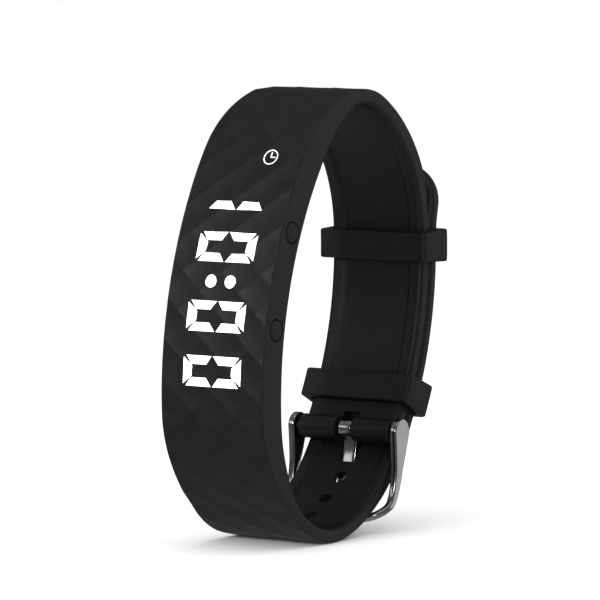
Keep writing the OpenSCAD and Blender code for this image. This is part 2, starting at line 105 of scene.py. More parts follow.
def chain():
    """Centres, radii and end angles of the tangent arcs from the lug to the tip of the tail."""
    arcs = [LOOP_ARCS[0]]
    centres = [BACK_CENTRE]

    def add(radius, end):
        centres.append(centres[-1] + (arcs[-1][0] - radius) * direction(arcs[-1][1]))
        arcs.append((radius, end))

    for radius, end in LOOP_ARCS[1:]:
        add(radius, end)
    bottom = direction(arcs[-1][1])
    reach = centres[-1] + arcs[-1][0] * bottom - BACK_CENTRE
    close_r = (OUTER_R**2 - reach @ reach) / (2 * (OUTER_R - reach @ bottom))
    offset = reach - close_r * bottom
    close_end = 360 + math.degrees(math.atan2(offset[1], offset[0]))
    for radius, end in ((close_r, close_end), (OUTER_R, LIFT_ANGLE), (TAIL_R, TAIL_END)):
        add(radius, end)
    return np.array(centres), np.array([a[0] for a in arcs]), np.array([a[1] for a in arcs])


CENTRES, RADII, ENDS = chain()
CLOSE = len(LOOP_ARCS)
CLOSE_END = ENDS[CLOSE]
FRONT_CENTRE = CENTRES[FRONT]
# Thickness of the band at some angles. It eases from each to the next.
THICKNESS = np.array([(5, INNER_STRAP_T), (24, 3.1), (95, 2.8), (152, 5.7), (178, 5.7), (222, 2.7),
                      (CLOSE_END, OUTER_STRAP_T)])


def at(angle, depth):
    """Y-Z points in millimetres at some angles and depths. The angle counts on round the tail's bend."""
    tail = len(ENDS) - 1
    arc = np.minimum(np.searchsorted(ENDS, angle), tail)
    facing = np.where(arc == tail, 2 * LIFT_ANGLE - angle, angle)
    return CENTRES[arc] + (RADII[arc] + depth)[..., None] * direction(facing)


def ease(f):
    """Takes 0..1 to 0..1 with level ends."""
    f = np.clip(f, 0, 1)
    return f * f * (3 - 2 * f)


def ramp(value, start, end):
    """Rises smoothly from 0 to 1 as value goes from start to end."""
    return ease((value - start) / (end - start))


def band_t(angle):
    """Thickness of the band."""
    place = np.interp(angle, THICKNESS[:, 0], np.arange(len(THICKNESS)))
    row = np.minimum(place.astype(int), len(THICKNESS) - 2)
    f = ease(place - row)
    return THICKNESS[row, 1] * (1 - f) + THICKNESS[row + 1, 1] * f


# Length along the outer face, from the middle of the display towards the buckle.
SWEEP = np.linspace(LUG_ANGLE, TAIL_END, 8001)
LENGTH = np.r_[0, np.cumsum(np.linalg.norm(np.diff(at(SWEEP, band_t(SWEEP)), axis=0), axis=1))]
LENGTH -= np.interp(DISPLAY_A, SWEEP, LENGTH)


def length_at(angle):
    """Length along the outer face at an angle."""
    return np.interp(angle, SWEEP, LENGTH)


# ---- The moulded pattern -----------------------------------------------------------------------
# Shallow diamond scoops that meet in ridges. A and B are a diamond's half diagonals across and along.
# A crossing of the ridges lies at the length DIAMOND_AT, and each half diagonal has a number of steps.
DIAMOND_A = 3.85
DIAMOND_B = 3.25
DIAMOND_AT = -1.5
DIAMOND_DEPTH = 0.3
DIAMOND_STEPS = 12


def scoop(p, q):
    """Depth of the pattern, 0 at a diamond's corners and -1 in its middle, in units of half diagonals."""
    m, n = np.round((p + q - 1) / 2), np.round((p - q - 1) / 2)
    return (p - (m + n + 1)) ** 2 + (q - (m - n)) ** 2 - 1


def pattern_share(angle):
    """How deep the pattern is at an angle: full over the front, none near the buckle."""
    return ramp(angle, 28, 70) * (1 - ramp(angle, 282, 312))


# ---- Outline of the band -----------------------------------------------------------------------
FRONT_HALF = 10.0
STRAP_HALF = 9.1
TAIL_HALF = 9.05
WIDE_UNTIL_Y = -12
NARROW_FROM_Y = 6
TIP_Z = 16.5
TIP_H = 7.0


def half_width(angle, y):
    """Half the width of the band, without the round tip."""
    share = np.clip((y - WIDE_UNTIL_Y) / (NARROW_FROM_Y - WIDE_UNTIL_Y), 0, 1)
    half = FRONT_HALF + (STRAP_HALF - FRONT_HALF) * share
    return half + (TAIL_HALF - STRAP_HALF) * ramp(angle, CLOSE_END - 8, CLOSE_END + 8)


def tip_rise(angle, z):
    """Height within the round tip, from 0 where it begins to 1 at its end."""
    return np.where(angle > TAIL_FROM, np.clip((z - TIP_Z) / TIP_H, 0, 1), 0)


def tip_share(angle, z):
    """Share of the half width that the round tip leaves at a height."""
    return np.sqrt(1 - tip_rise(angle, z) ** 2)


def edge_distance(x, half, angle, z):
    """Distance of a point of the band from its outline."""
    rise = tip_rise(angle, z)
    e = np.sqrt((x / half) ** 2 + rise**2)
    slope = np.sqrt((x / half**2) ** 2 + (rise / TIP_H) ** 2) / np.maximum(e, 1e-9)
    return np.where(rise > 0, (1 - e) / np.maximum(slope, 1e-9), half - np.abs(x))


def rounding(distance, radius):
    """How far a rounded edge of that radius has dropped at a distance from the outline."""
    left = np.clip(1 - distance / radius, 0, 1)
    return radius * (1 - np.sqrt(1 - left**2))


# ---- Mesh helpers ------------------------------------------------------------------------------
def make_object(name, verts, faces, smooth_angle=40):
    """An object from vertices in millimetres."""
    mesh = bpy.data.meshes.new(name)
    mesh.from_pydata((np.asarray(verts, float) * MM).tolist(), [], [tuple(f) for f in faces])
    mesh.validate()
    obj = bpy.data.objects.new(name, mesh)
    bpy.context.scene.collection.objects.link(obj)
    shade(obj, smooth_angle)
    return obj


def shade(obj, smooth_angle=40):
    """Smooth shading, with edges sharper than the angle kept crisp."""
    obj.data.shade_smooth()
    obj.data.set_sharp_from_angle(angle=math.radians(smooth_angle))


def grid_faces(rows, cols):
    """Quads between closed rings of vertices, numbered ring by ring."""
    faces = []
    for i in range(rows - 1):
        for j in range(cols):
            k = (j + 1) % cols
            faces.append((i * cols + j, i * cols + k, (i + 1) * cols + k, (i + 1) * cols + j))
    return faces


def cap_faces(rows, cols):
    """The two flat ends of a stack of rings."""
    return [tuple(range(cols))[::-1], tuple(range((rows - 1) * cols, rows * cols))]


def tube_object(name, rings):
    """A closed solid from rings of points, with flat caps."""
    rings = np.asarray(rings, float)
    rows, cols = rings.shape[:2]
    obj = make_object(name, rings.reshape(-1, 3), grid_faces(rows, cols) + cap_faces(rows, cols))
    face_outward(obj)
    return obj


def face_outward(obj):
    """Turns all the faces of a closed mesh outward."""
    bm = bmesh.new()
    bm.from_mesh(obj.data)
    bmesh.ops.recalc_face_normals(bm, faces=bm.faces)
    bm.to_mesh(obj.data)
    bm.free()


def turned(name, profile, centre, sides=48):
    """A solid of revolution about an X-wise axis through a Y-Z centre. The profile is [x, radius]."""
    turn = np.radians(np.arange(sides) * 360 / sides)
    rings = [[(x, centre[0] + r * math.cos(t), centre[1] + r * math.sin(t)) for t in turn]
             for x, r in profile]
    return tube_object(name, rings)


def boolean(obj, other, operation):
    """Applies a boolean and removes the other object."""
    modifier = obj.modifiers.new("cut", "BOOLEAN")
    modifier.operation = operation
    modifier.object = other
    modifier.solver = "MANIFOLD"
    depsgraph = bpy.context.evaluated_depsgraph_get()
    made = bpy.data.meshes.new_from_object(obj.evaluated_get(depsgraph))
    obj.modifiers.clear()
    obj.data = made
    bpy.data.objects.remove(other)


# ---- Silicone band -----------------------------------------------------------------------------
EDGE_R = 0.35
STRAP_SKIN_EDGE_R = 1.0
FRONT_SKIN_EDGE_R = 0.35
# Distances from the outline at which a rounded edge has vertices, as shares of its radius.
EDGE_STEPS = (1, 0.74, 0.5, 0.29, 0.134, 0.034, 0)
CHANNEL_HALF = 6.8
CHANNEL_DEPTH = 0.5
CHANNEL_RUNS = ((-26, 128), (213, 328))
# The channel's walls slope over CHANNEL_WALL to each side, and its ends over CHANNEL_ENDING degrees.
CHANNEL_WALL = 0.13
CHANNEL_COLUMNS = 0.18
CHANNEL_ENDING = 1.6
# The pattern fades to nothing within this distance of the outline.
PATTERN_FADE = 0.25


def outer_columns():
    """Places across the outer face, -1..1. The inner ones lie on the steps of the pattern.

    Also returns the number of steps from the middle to the last of them, and of places beyond it.
    """
    step = DIAMOND_A / DIAMOND_STEPS
    count = int((FRONT_HALF - EDGE_R) / step)
    middle = np.arange(-count, count + 1) * step / FRONT_HALF
    edge = 1 - np.array(EDGE_STEPS) * EDGE_R / FRONT_HALF
    edge = edge[edge > middle[-1] + 1e-3]
    return np.r_[-edge[::-1], middle, edge], count, len(edge)


def inner_columns():
    """Places across the skin side, -1..1, close together at the walls of the channel."""
    edge = 1 - np.array(EDGE_STEPS) * STRAP_SKIN_EDGE_R / FRONT_HALF
    wall = (CHANNEL_HALF + np.linspace(-CHANNEL_COLUMNS, CHANNEL_COLUMNS, 7)) / FRONT_HALF
    half = np.r_[0.16, 0.33, 0.5, wall, 0.76, 0.83, edge]
    return np.r_[-half[::-1], 0, half]


def band_rows():
    """Angles of the rows, on the steps of the pattern up to the tip, then closer and closer.

    Also returns the step of the pattern that the first row stands for.
    """
    step = DIAMOND_B / DIAMOND_STEPS
    margin = 0.3
    first = math.ceil((LENGTH[0] - DIAMOND_AT) / step + margin)
    last = math.floor((length_at(tail_angle(TIP_Z)) - DIAMOND_AT) / step - margin)
    index = np.arange(first, last + 1)
    body = np.interp(DIAMOND_AT + index * step, LENGTH, SWEEP)
    heights = TIP_Z + TIP_H * np.sin(np.radians(np.r_[np.arange(0, 80, 3), 82, 84, 86, 87.5, 88.6]))
    return np.r_[LUG_ANGLE, body, tail_angle(heights)], first - 1


def tail_angle(height):
    """The angles at which the middle of the tail reaches some heights."""
    tail = SWEEP > TAIL_FROM
    return np.interp(height, at(SWEEP, OUTER_STRAP_T / 2)[tail, 1], SWEEP[tail])


def outer_depth(angle, x, half, z, p, q):
    """Depth of the outer face: its thickness, the pattern, and the rounded edge."""
    drop = DIAMOND_DEPTH * pattern_share(angle) * scoop(p, q)
    edge = edge_distance(x, half, angle, z)
    return band_t(angle) + drop * ramp(edge, 0, PATTERN_FADE) - rounding(edge, EDGE_R)


def skin_edge_r(angle):
    """Radius of the skin side's edges: large along the straps, small at the thick front."""
    front = ramp(angle, 100, 140) * (1 - ramp(angle, 195, 235))
    return STRAP_SKIN_EDGE_R + (FRONT_SKIN_EDGE_R - STRAP_SKIN_EDGE_R) * front


def inner_depth(angle, x, half, z):
    """Depth of the skin side: the shallow channel and the rounded edge."""
    inside = 1 - ramp(np.abs(x), CHANNEL_HALF - CHANNEL_WALL, CHANNEL_HALF + CHANNEL_WALL)
    run = sum(ramp(angle, a, a + CHANNEL_ENDING) * (1 - ramp(angle, b - CHANNEL_ENDING, b))
              for a, b in CHANNEL_RUNS)
    return CHANNEL_DEPTH * inside * run + rounding(edge_distance(x, half, angle, z), skin_edge_r(angle))


def face_points(angle, u, depth_of):
    """Points of one face of the band on a grid of angles and places across."""
    a, u = np.meshgrid(angle, u, indexing="ij")
    guess = at(a, band_t(a) / 2)
    half = half_width(a, guess[..., 0])
    x = u * half * tip_share(a, guess[..., 1])
    depth = depth_of(a, x, half, guess[..., 1])
    return np.concatenate([x[..., None], at(a, depth)], -1)


def side_points(top, bottom):
    """Points down one side, between the rounded edges."""
    shares = np.array([0.08, 0.3, 0.7, 0.92])[None, :, None]
    return top[:, None] * (1 - shares) + bottom[:, None] * shares


def band_solid():
    """The whole band as one swept solid, before its pocket and holes are cut."""
    angles, first = band_rows()
    u_out, count, edges = outer_columns()
    u_in = inner_columns()
    q_rows = (length_at(angles) - DIAMOND_AT) / DIAMOND_B
    pattern_q = np.repeat(q_rows[:, None], len(u_out), 1)
    pattern_p = np.repeat((u_out * FRONT_HALF / DIAMOND_A)[None], len(angles), 0)

    def patterned_depth(angle, x, half, z):
        return outer_depth(angle, x, half, z, pattern_p, pattern_q)

    outer = face_points(angles, u_out, patterned_depth)
    inner = face_points(angles, u_in[::-1], inner_depth)
    rings = np.concatenate(
        [outer, side_points(outer[:, -1], inner[:, 0]), inner, side_points(inner[:, -1], outer[:, 0])], 1)
    rows, cols = rings.shape[:2]
    faces = []
    for i in range(rows - 1):
        for j in range(cols):
            k = (j + 1) % cols
            a, b, c, d = i * cols + j, i * cols + k, (i + 1) * cols + k, (i + 1) * cols + j
            if j < len(u_out) - 1:
                # The two triangles of a quad meet along the ridge that is nearest.
                column, row = j - edges - count, i + first
                along = (column - row) % (2 * DIAMOND_STEPS)
                across = (column + row + 1) % (2 * DIAMOND_STEPS)
                if min(along, 2 * DIAMOND_STEPS - along) <= min(across, 2 * DIAMOND_STEPS - across):
                    faces += [(a, b, c), (a, c, d)]
                else:
                    faces += [(a, b, d), (b, c, d)]
            else:
                faces.append((a, b, c, d))
    faces += cap_faces(rows, cols)
    obj = make_object("band_skin", rings.reshape(-1, 3), faces)
    face_outward(obj)
    return obj


# ---- What is cut out of the band ---------------------------------------------------------------
LUG_R = 2.05
LUG_BORE_R = 0.7
BAR_AT = BACK_CENTRE + (BACK_R + INNER_STRAP_T - LUG_R) * direction(LUG_ANGLE)
# Size of the notch in the lug that makes room for the tang's loop.
NOTCH = (3.3, 4.6, 5.5)
HOLE_R = 1.15
HOLE_PITCH = 5.1
# The holes' rims are rounded by HOLE_FLARE, and their cutters' flares reach SKIM beyond both faces.
HOLE_FLARE = 0.18
SKIM = 0.02
# The tang passes through a hole of its own, this far beyond the end of the closing arc. The round holes
# lie before and after it.
TANG_HOLE_PAST = 1.2
HOLES_BEFORE = 3
HOLES_AFTER = 7
# Room in the strap round the tang's shank: above and below it, and at its sides.
TANG_ROOM = 0.25
TANG_SIDE_ROOM = 0.3
BUTTON_ANGLES = (157.2, 170.4)
BUTTON_R = FRONT_R + 2.65
BUTTON_CAP_R = 1.7
BUTTON_FLANGE_R = 2.05
BUTTON_GAP = 0.1
# Places along X: the button's stem from its inner end, its flange, and the well it sits in.
STEM_X = 7.05
STEM_R = 0.7
FLANGE_X = (8.65, 9.05)
WELL_X = (7.2, 9.15)
WELL_RIM = 0.12
# A step in a turned profile runs over this small distance.
CORNER_STEP = 0.001
# The electronics pocket: its angles, its radii outward from FRONT_R, and its lipped mouth to the skin.
CAPSULE = (145.4, 182)
CAPSULE_HALF = 8.2
CAPSULE_DEPTHS = (0.7, 4.9)
MOUTH_HALF = 7.3
MOUTH_DEPTHS = (-1, 0.71)
LIP_A = 0.9
FIT_GAP = 0.1


def sector(name, centre, r0, r1, a0, a1, half, steps=24):
    """A block bent round a Y-Z centre."""
    rings = []
    for a in np.linspace(a0, a1, steps + 1):
        inner, outer = centre + r0 * direction(a), centre + r1 * direction(a)
        rings.append([(-half, *inner), (half, *inner), (half, *outer), (-half, *outer)])
    return tube_object(name, rings)


def button_at(angle):
    """Centre of a button in the Y-Z plane."""
    return FRONT_CENTRE + BUTTON_R * direction(angle)


def flared_hole(angle, r, depth0, depth1, flare):
    """A round cutter along the normal at an angle, wider at both faces so that the rims are rounded."""
    turn = np.radians(np.arange(32) * 360 / 32)
    lean = np.radians(np.linspace(0, 90, 6))
    lower = [(depth0 + flare * math.sin(t), r + flare * (1 - math.sin(t))) for t in lean]
    upper = [(depth1 - flare * math.sin(t), r + flare * (1 - math.sin(t))) for t in lean[::-1]]
    beyond = 0.6
    profile = [(depth0 - beyond, r + flare), *lower, *upper, (depth1 + beyond, r + flare)]
    along = direction(angle - 90)
    rings = []
    for depth, radius in profile:
        middle = at(np.array(angle), np.array(depth))
        rings.append([(radius * math.cos(t), *(middle + along * radius * math.sin(t))) for t in turn])
    return tube_object("cut", rings)


def hole_angles():
    """Angles of the round strap holes, before and after the tang's own."""
    close_step = math.degrees(HOLE_PITCH / RADII[CLOSE])
    outer_step = math.degrees(HOLE_PITCH / OUTER_R)
    share = TANG_HOLE_PAST / HOLE_PITCH
    return ([CLOSE_END - close_step * (n - share) for n in range(1, HOLES_BEFORE + 1)]
            + [CLOSE_END + outer_step * (n + share) for n in range(1, HOLES_AFTER + 1)])


def block(name, centre, size):
    """A block about a Y-Z centre."""
    x, y, z = (s / 2 for s in size)
    rings = [[(side * x, centre[0] - y, centre[1] - z), (side * x, centre[0] + y, centre[1] - z),
              (side * x, centre[0] + y, centre[1] + z), (side * x, centre[0] - y, centre[1] + z)]
             for side in (-1, 1)]
    return tube_object(name, rings)


def swung(point, degrees):
    """A Y-Z point turned about the spring bar."""
    t = math.radians(degrees)
    y, z = np.asarray(point) - BAR_AT
    return BAR_AT + np.array([y * math.cos(t) - z * math.sin(t), y * math.sin(t) + z * math.cos(t)])


def button_cutter(angle):
    """Room for a button: a wide well for its flange, and a hole with a rounded rim for its cap."""
    well_r = BUTTON_FLANGE_R + BUTTON_GAP
    hole_r = BUTTON_CAP_R + BUTTON_GAP
    profile = [(WELL_X[0], well_r), (WELL_X[1], well_r), (WELL_X[1] + CORNER_STEP, hole_r)]
    profile += [(FRONT_HALF - WELL_RIM * (1 - math.sin(t)), hole_r + WELL_RIM * (1 - math.cos(t)))
                for t in np.radians(np.linspace(0, 90, 5))]
    profile.append((FRONT_HALF + 1, hole_r + WELL_RIM))
    return turned("cut_button", profile, button_at(angle), 64)


def tang_cutter(degrees):
    """Room for the tang's shank where it passes through the strap."""
    centre = swung(TANG_CENTRE, degrees)
    half_t = TANG_T / 2 + TANG_ROOM
    return sector("cut_tang", centre, TANG_ARC_R - half_t, TANG_ARC_R + half_t,
                  TANG_A0 + degrees, TANG_A1 + degrees, TANG_W / 2 + TANG_SIDE_ROOM, 16)


def drum(half, r, edge, steps, sides):
    """A cylinder about the spring bar with rounded rims."""
    end = [(half - edge * (1 - math.sin(t)), r - edge * (1 - math.cos(t)))
           for t in np.radians(np.linspace(0, 90, steps))]
    return turned("drum", [(-x, rim_r) for x, rim_r in end[::-1]] + end, BAR_AT, sides)


def silicone_band():
    """The band with its capsule pocket, button holes, strap holes and lug."""
    band = band_solid()
    boolean(band, drum(STRAP_HALF, LUG_R - 0.01, EDGE_R, 6, 64), "UNION")
    a0, a1 = CAPSULE
    pocket_r = [FRONT_R + depth for depth in CAPSULE_DEPTHS]
    mouth_r = [FRONT_R + depth for depth in MOUTH_DEPTHS]
    cutters = [
        sector("cut", FRONT_CENTRE, *pocket_r, a0 - FIT_GAP, a1 + FIT_GAP, CAPSULE_HALF + FIT_GAP),
        sector("cut", FRONT_CENTRE, *mouth_r, a0 + LIP_A - FIT_GAP, a1 - LIP_A + FIT_GAP,
               MOUTH_HALF + FIT_GAP),
        turned("cut", [(-12, LUG_BORE_R), (12, LUG_BORE_R)], BAR_AT, 40),
        block("cut", BAR_AT, NOTCH),
    ]
    cutters += [button_cutter(a) for a in BUTTON_ANGLES]
    cutters += [flared_hole(a, HOLE_R, -SKIM, OUTER_STRAP_T + SKIM, HOLE_FLARE) for a in hole_angles()]
    cutters += [tang_cutter(degrees) for degrees in (0, 4, 8)]
    for cutter in cutters:
        boolean(band, cutter, "DIFFERENCE")
    shade(band, 38)
    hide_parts("silicone_band")
    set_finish(band, "band_silicone")
    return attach(band, "band")


# ---- Lit display -------------------------------------------------------------------------------
DIGIT_STEPS = (-11.5, -4.5, 4.5, 11.5)
DIGIT_LEN = 11.3
DIGIT_WIDE = 4.95
STROKE_X = 1.75
STROKE_Z = 1.4
SEGMENT_GAP = 0.32
DOT_X = 1.9
DOT_R = 1.05
CLOCK_A = 147.6
CLOCK_X = 3.65
CLOCK_R = 1.35
CLOCK_LINE = 0.17
GLOW_PROUD = 0.03
GLOW_DEPTH = 0.25
INLAY_REACH = 8
INLAY_CELL = 0.4


def short_stroke():
    """Outline of a stroke that makes half of a digit's side, which lies along X."""
    x0, x1, y1 = -DIGIT_LEN / 2 + SEGMENT_GAP * 1.5, -SEGMENT_GAP / 2, DIGIT_WIDE / 2
    slant = STROKE_Z * 0.75
    return [(x0, y1), (x1, y1), (x1 - slant, y1 - STROKE_Z), (x0 + slant, y1 - STROKE_Z)]


def long_stroke():
    """Outline of a stroke across one end of a digit."""
    x0, y1 = -DIGIT_LEN / 2, DIGIT_WIDE / 2 - SEGMENT_GAP
    x1 = x0 + STROKE_X
    return [(x0, -y1), (x1, -y1 + STROKE_Z), (x1, y1 - STROKE_Z), (x0, y1)]


def flipped(outline, sx, sy):
    return [(x * sx, y * sy) for x, y in outline]


def disc(x, y, r, sides=40):
    turn = np.radians(np.arange(sides) * 360 / sides)
    return [(x + r * math.cos(t), y + r * math.sin(t)) for t in turn]


def digit_outlines(step, whole):
    """The lit strokes of one digit as outlines [x, up the band], about its own middle."""
    strokes = [flipped(short_stroke(), sx, -1) for sx in (1, -1)]
    if whole:
        strokes += [flipped(short_stroke(), sx, 1) for sx in (1, -1)]
        strokes += [flipped(long_stroke(), sx, 1) for sx in (1, -1)]
    return [(DISPLAY_A + step, outline) for outline in strokes]


def draped(name, shapes, node, slot_name):
    """Lit inlays that follow the moulded surface. A shape is an angle, an outline and maybe a hole."""
    bm = bmesh.new()
    for angle, *loops in shapes:
        add_inlay(bm, angle, loops)
    bmesh.ops.recalc_face_normals(bm, faces=bm.faces)
    mesh = bpy.data.meshes.new(name)
    bm.to_mesh(mesh)
    bm.free()
    obj = bpy.data.objects.new(name, mesh)
    bpy.context.scene.collection.objects.link(obj)
    shade(obj, 45)
    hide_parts(node)
    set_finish(obj, slot_name)
    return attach(obj, "band")


def add_inlay(bm, angle, loops):
    """One inlay: its outline is filled, split fine, laid on the surface and given a thickness."""
    part = bmesh.new()
    edges = []
    for loop in loops:
        verts = [part.verts.new((x, y, 0)) for x, y in loop]
        edges += [part.edges.new((verts[k], verts[(k + 1) % len(verts)])) for k in range(len(verts))]
    bmesh.ops.triangle_fill(part, use_beauty=True, edges=edges)
    for cell in np.arange(-INLAY_REACH, INLAY_REACH, INLAY_CELL):
        for normal in ((1, 0, 0), (0, 1, 0)):
            geometry = part.verts[:] + part.edges[:] + part.faces[:]
            place = [cell * n for n in normal]
            bmesh.ops.bisect_plane(part, geom=geometry, plane_co=place, plane_no=normal, dist=1e-4)
    top = list(part.faces)
    for face in top:
        if face.normal.z < 0:
            face.normal_flip()
    under = bmesh.ops.extrude_face_region(part, geom=top)["geom"]
    under = {v for v in under if isinstance(v, bmesh.types.BMVert)}
    flat = np.array([v.co[:2] for v in part.verts])
    a = angle - np.degrees(flat[:, 1] / FRONT_OUTER_R)
    p = flat[:, 0] / DIAMOND_A
    q = (length_at(a) - DIAMOND_AT) / DIAMOND_B
    depth = band_t(a) + DIAMOND_DEPTH * pattern_share(a) * scoop(p, q) + GLOW_PROUD
    depth -= np.array([GLOW_DEPTH if v in under else 0 for v in part.verts])
    place = at(a, depth)
    for vert, x, (y, z) in zip(part.verts, flat[:, 0], place):
        vert.co = Vector((x, y, z)) * MM
    mesh = bpy.data.meshes.new("inlay")
    part.to_mesh(mesh)
    part.free()
    bm.from_mesh(mesh)
    bpy.data.meshes.remove(mesh)


def lit_display():
    """The digits, the colon and the clock icon, which is a ring with two hands."""
    digits = digit_outlines(DIGIT_STEPS[0], False)
    for step in DIGIT_STEPS[1:]:
        digits += digit_outlines(step, True)
    draped("display_digits_lit", digits, "display_digits", "lit_segments")
    dots = [(DISPLAY_A, disc(side * DOT_X, 0, DOT_R)) for side in (-1, 1)]
    draped("display_colon_lit", dots, "display_colon", "lit_segments")
    half = CLOCK_LINE / 2
    long_hand, short_hand = 0.93, 0.88
    hands = [(CLOCK_X + x, y) for x, y in
             ((-half, long_hand), (-half, -half), (short_hand, -half), (short_hand, half), (half, half),
              (half, long_hand))]
    ring = [disc(CLOCK_X, 0, r) for r in (CLOCK_R, CLOCK_R - CLOCK_LINE)]
    clock = [(CLOCK_A, *ring), (CLOCK_A, hands)]
    draped("clock_icon_lit", clock, "clock_icon", "lit_icon")


# ---- Buttons -----------------------------------------------------------------------------------
BUTTON_RIM = 0.22
BUTTON_RIM_X = FRONT_HALF + 0.04
BUTTON_TOP_X = FRONT_HALF + 0.15


def button(name, angle, node):
    """A moulded cap with a soft rim and a shallow crown, its flange and its stem."""
    crown = BUTTON_TOP_X - BUTTON_RIM_X
    flat_r = BUTTON_CAP_R - BUTTON_RIM
    profile = [(STEM_X, STEM_R), (FLANGE_X[0] - CORNER_STEP, STEM_R), (FLANGE_X[0], BUTTON_FLANGE_R),
               (FLANGE_X[1], BUTTON_FLANGE_R), (FLANGE_X[1] + CORNER_STEP, BUTTON_CAP_R)]
    profile += [(BUTTON_RIM_X - BUTTON_RIM * (1 - math.sin(t)), flat_r + BUTTON_RIM * math.cos(t))
                for t in np.radians(np.linspace(0, 84, 6))]
    profile += [(BUTTON_RIM_X + crown * (1 - share**2), flat_r * share) for share in (0.8, 0.55, 0.3, 0.06)]
    obj = turned(name, profile, button_at(angle), 64)
    shade(obj, 50)
    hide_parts(node)
    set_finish(obj, "button_silicone")
    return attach(obj, node)


# ---- Buckle ------------------------------------------------------------------------------------
BUCKLE_HALF = 10.9
CHEEK_T = 1.2
# Radius of the metal's edges: small at the cheeks, and nearly round where the bend ends and beyond.
CHEEK_EDGE_R = 0.34
BEND_EDGE_R = 0.58
CROSSBAR_EDGE_R = 0.59
CROSSBAR_R = 0.6
CROSSBAR_A = CLOSE_END - 24.5
CROSSBAR_PATH_R = RADII[CLOSE] + OUTER_STRAP_T + 0.1 + LAYER_GAP + CROSSBAR_R
CROSSBAR_AT = CENTRES[CLOSE] + CROSSBAR_PATH_R * direction(CROSSBAR_A)
CORNER_R = 4.0
CORNER_X = BUCKLE_HALF - CHEEK_T / 2 - CORNER_R
UP_THE_STRAP = direction(CROSSBAR_A + 90)
CHEEK_END = CROSSBAR_AT + CORNER_R * UP_THE_STRAP
EYE_R = 2.2
PIN_BORE_R = 0.5
PIN_BORE_END = 10.6
TANG_W = 2.6
TANG_T = 0.9
TANG_LOOP_R = 0.72
TANG_EYE_R = 1.5
TANG_EDGE_R = 0.3
TANG_ARC_R = 17.5
TANG_TIP = CROSSBAR_AT + (CROSSBAR_R + TANG_T / 2 - 0.3) * direction(CROSSBAR_A + 5.5)
TANG_ROOT = BAR_AT + [0.95, -0.6]


def tang_arc():
    """Centre and end angles of the arc that the tang's shank follows, from its tip to its root."""
    chord = TANG_ROOT - TANG_TIP
    half = np.linalg.norm(chord) / 2
    drop = math.sqrt(TANG_ARC_R**2 - half**2)
    centre = (TANG_ROOT + TANG_TIP) / 2 + drop * np.array([-chord[1], chord[0]]) / (2 * half)
    ends = [math.degrees(math.atan2(*(point - centre)[::-1])) for point in (TANG_TIP, TANG_ROOT)]
    return centre, ends[0] - 3, ends[1]


TANG_CENTRE, TANG_A0, TANG_A1 = tang_arc()


def section(middle, out, side, half_out, half_side, corner):
    """A rounded rectangle as a ring of points: out and side are its unit axes."""
    corner = min(corner, 0.98 * half_out, 0.98 * half_side)
    ring = []
    for u, v, start in ((1, 1, 0), (-1, 1, 90), (-1, -1, 180), (1, -1, 270)):
        for turn in np.radians(start + np.linspace(0, 90, 7)):
            a = u * (half_out - corner) + corner * math.cos(turn)
            b = v * (half_side - corner) + corner * math.sin(turn)
            ring.append(middle + a * out + b * side)
    return ring


def cheek_rings():
    """Rings down the right cheek: a round eye that tapers into an arm, which bends over the strap."""
    out = np.array([1.0, 0, 0])
    x = BUCKLE_HALF - CHEEK_T / 2
    # The arm follows a cubic curve, and these are its control points.
    pulls = [BAR_AT, BAR_AT + [-0.55, -5.6], CHEEK_END + 1.9 * UP_THE_STRAP, CHEEK_END]
    shares = np.linspace(0, 1, 26)[:, None]
    weights = [(1 - shares) ** 3, 3 * shares * (1 - shares) ** 2, 3 * shares**2 * (1 - shares), shares**3]
    run = sum(w * p for w, p in zip(weights, pulls))
    along = np.gradient(run, axis=0)
    along /= np.linalg.norm(along, axis=1)[:, None]
    travelled = np.r_[0, np.cumsum(np.linalg.norm(np.diff(run, axis=0), axis=1))]
    widths = np.interp(travelled, [0, 6, travelled[-1]], [EYE_R, 1.1, CROSSBAR_R + 0.05])
    # The round back of the eye comes before the curve.
    rings = []
    for turn in np.radians(np.r_[3, 8, np.arange(15, 90, 10)]):
        back = run[0] - along[0] * EYE_R * math.cos(turn)
        rings.append((back, along[0], EYE_R * math.sin(turn)))
    rings += list(zip(run, along, widths))
    made = []
    for (y, z), (dy, dz), width in rings:
        side = np.array([0, -dz, dy])
        made.append(section(np.array([x, y, z]), out, side, CHEEK_T / 2, width, CHEEK_EDGE_R))
    return made


def bend_rings():
    """Rings round the corner from the right cheek to the crossbar, and along it to the middle."""
    side = np.array([0, *direction(CROSSBAR_A)])
    down = np.array([0, *-UP_THE_STRAP])
    centre = np.array([CORNER_X, *CHEEK_END])
    rings = []
    for turn in np.arange(7.5, 91, 7.5):
        t = math.radians(turn)
        out = math.cos(t) * np.array([1.0, 0, 0]) + math.sin(t) * down
        rings.append(section(centre + CORNER_R * out, out, side, CHEEK_T / 2, CROSSBAR_R,
                             CHEEK_EDGE_R + (BEND_EDGE_R - CHEEK_EDGE_R) * turn / 90))
    for x in np.linspace(CORNER_X - 0.6, 0, 8):
        rings.append(section(np.array([x, *CROSSBAR_AT]), down, side, CHEEK_T / 2, CROSSBAR_R,
                             CROSSBAR_EDGE_R))
    return rings


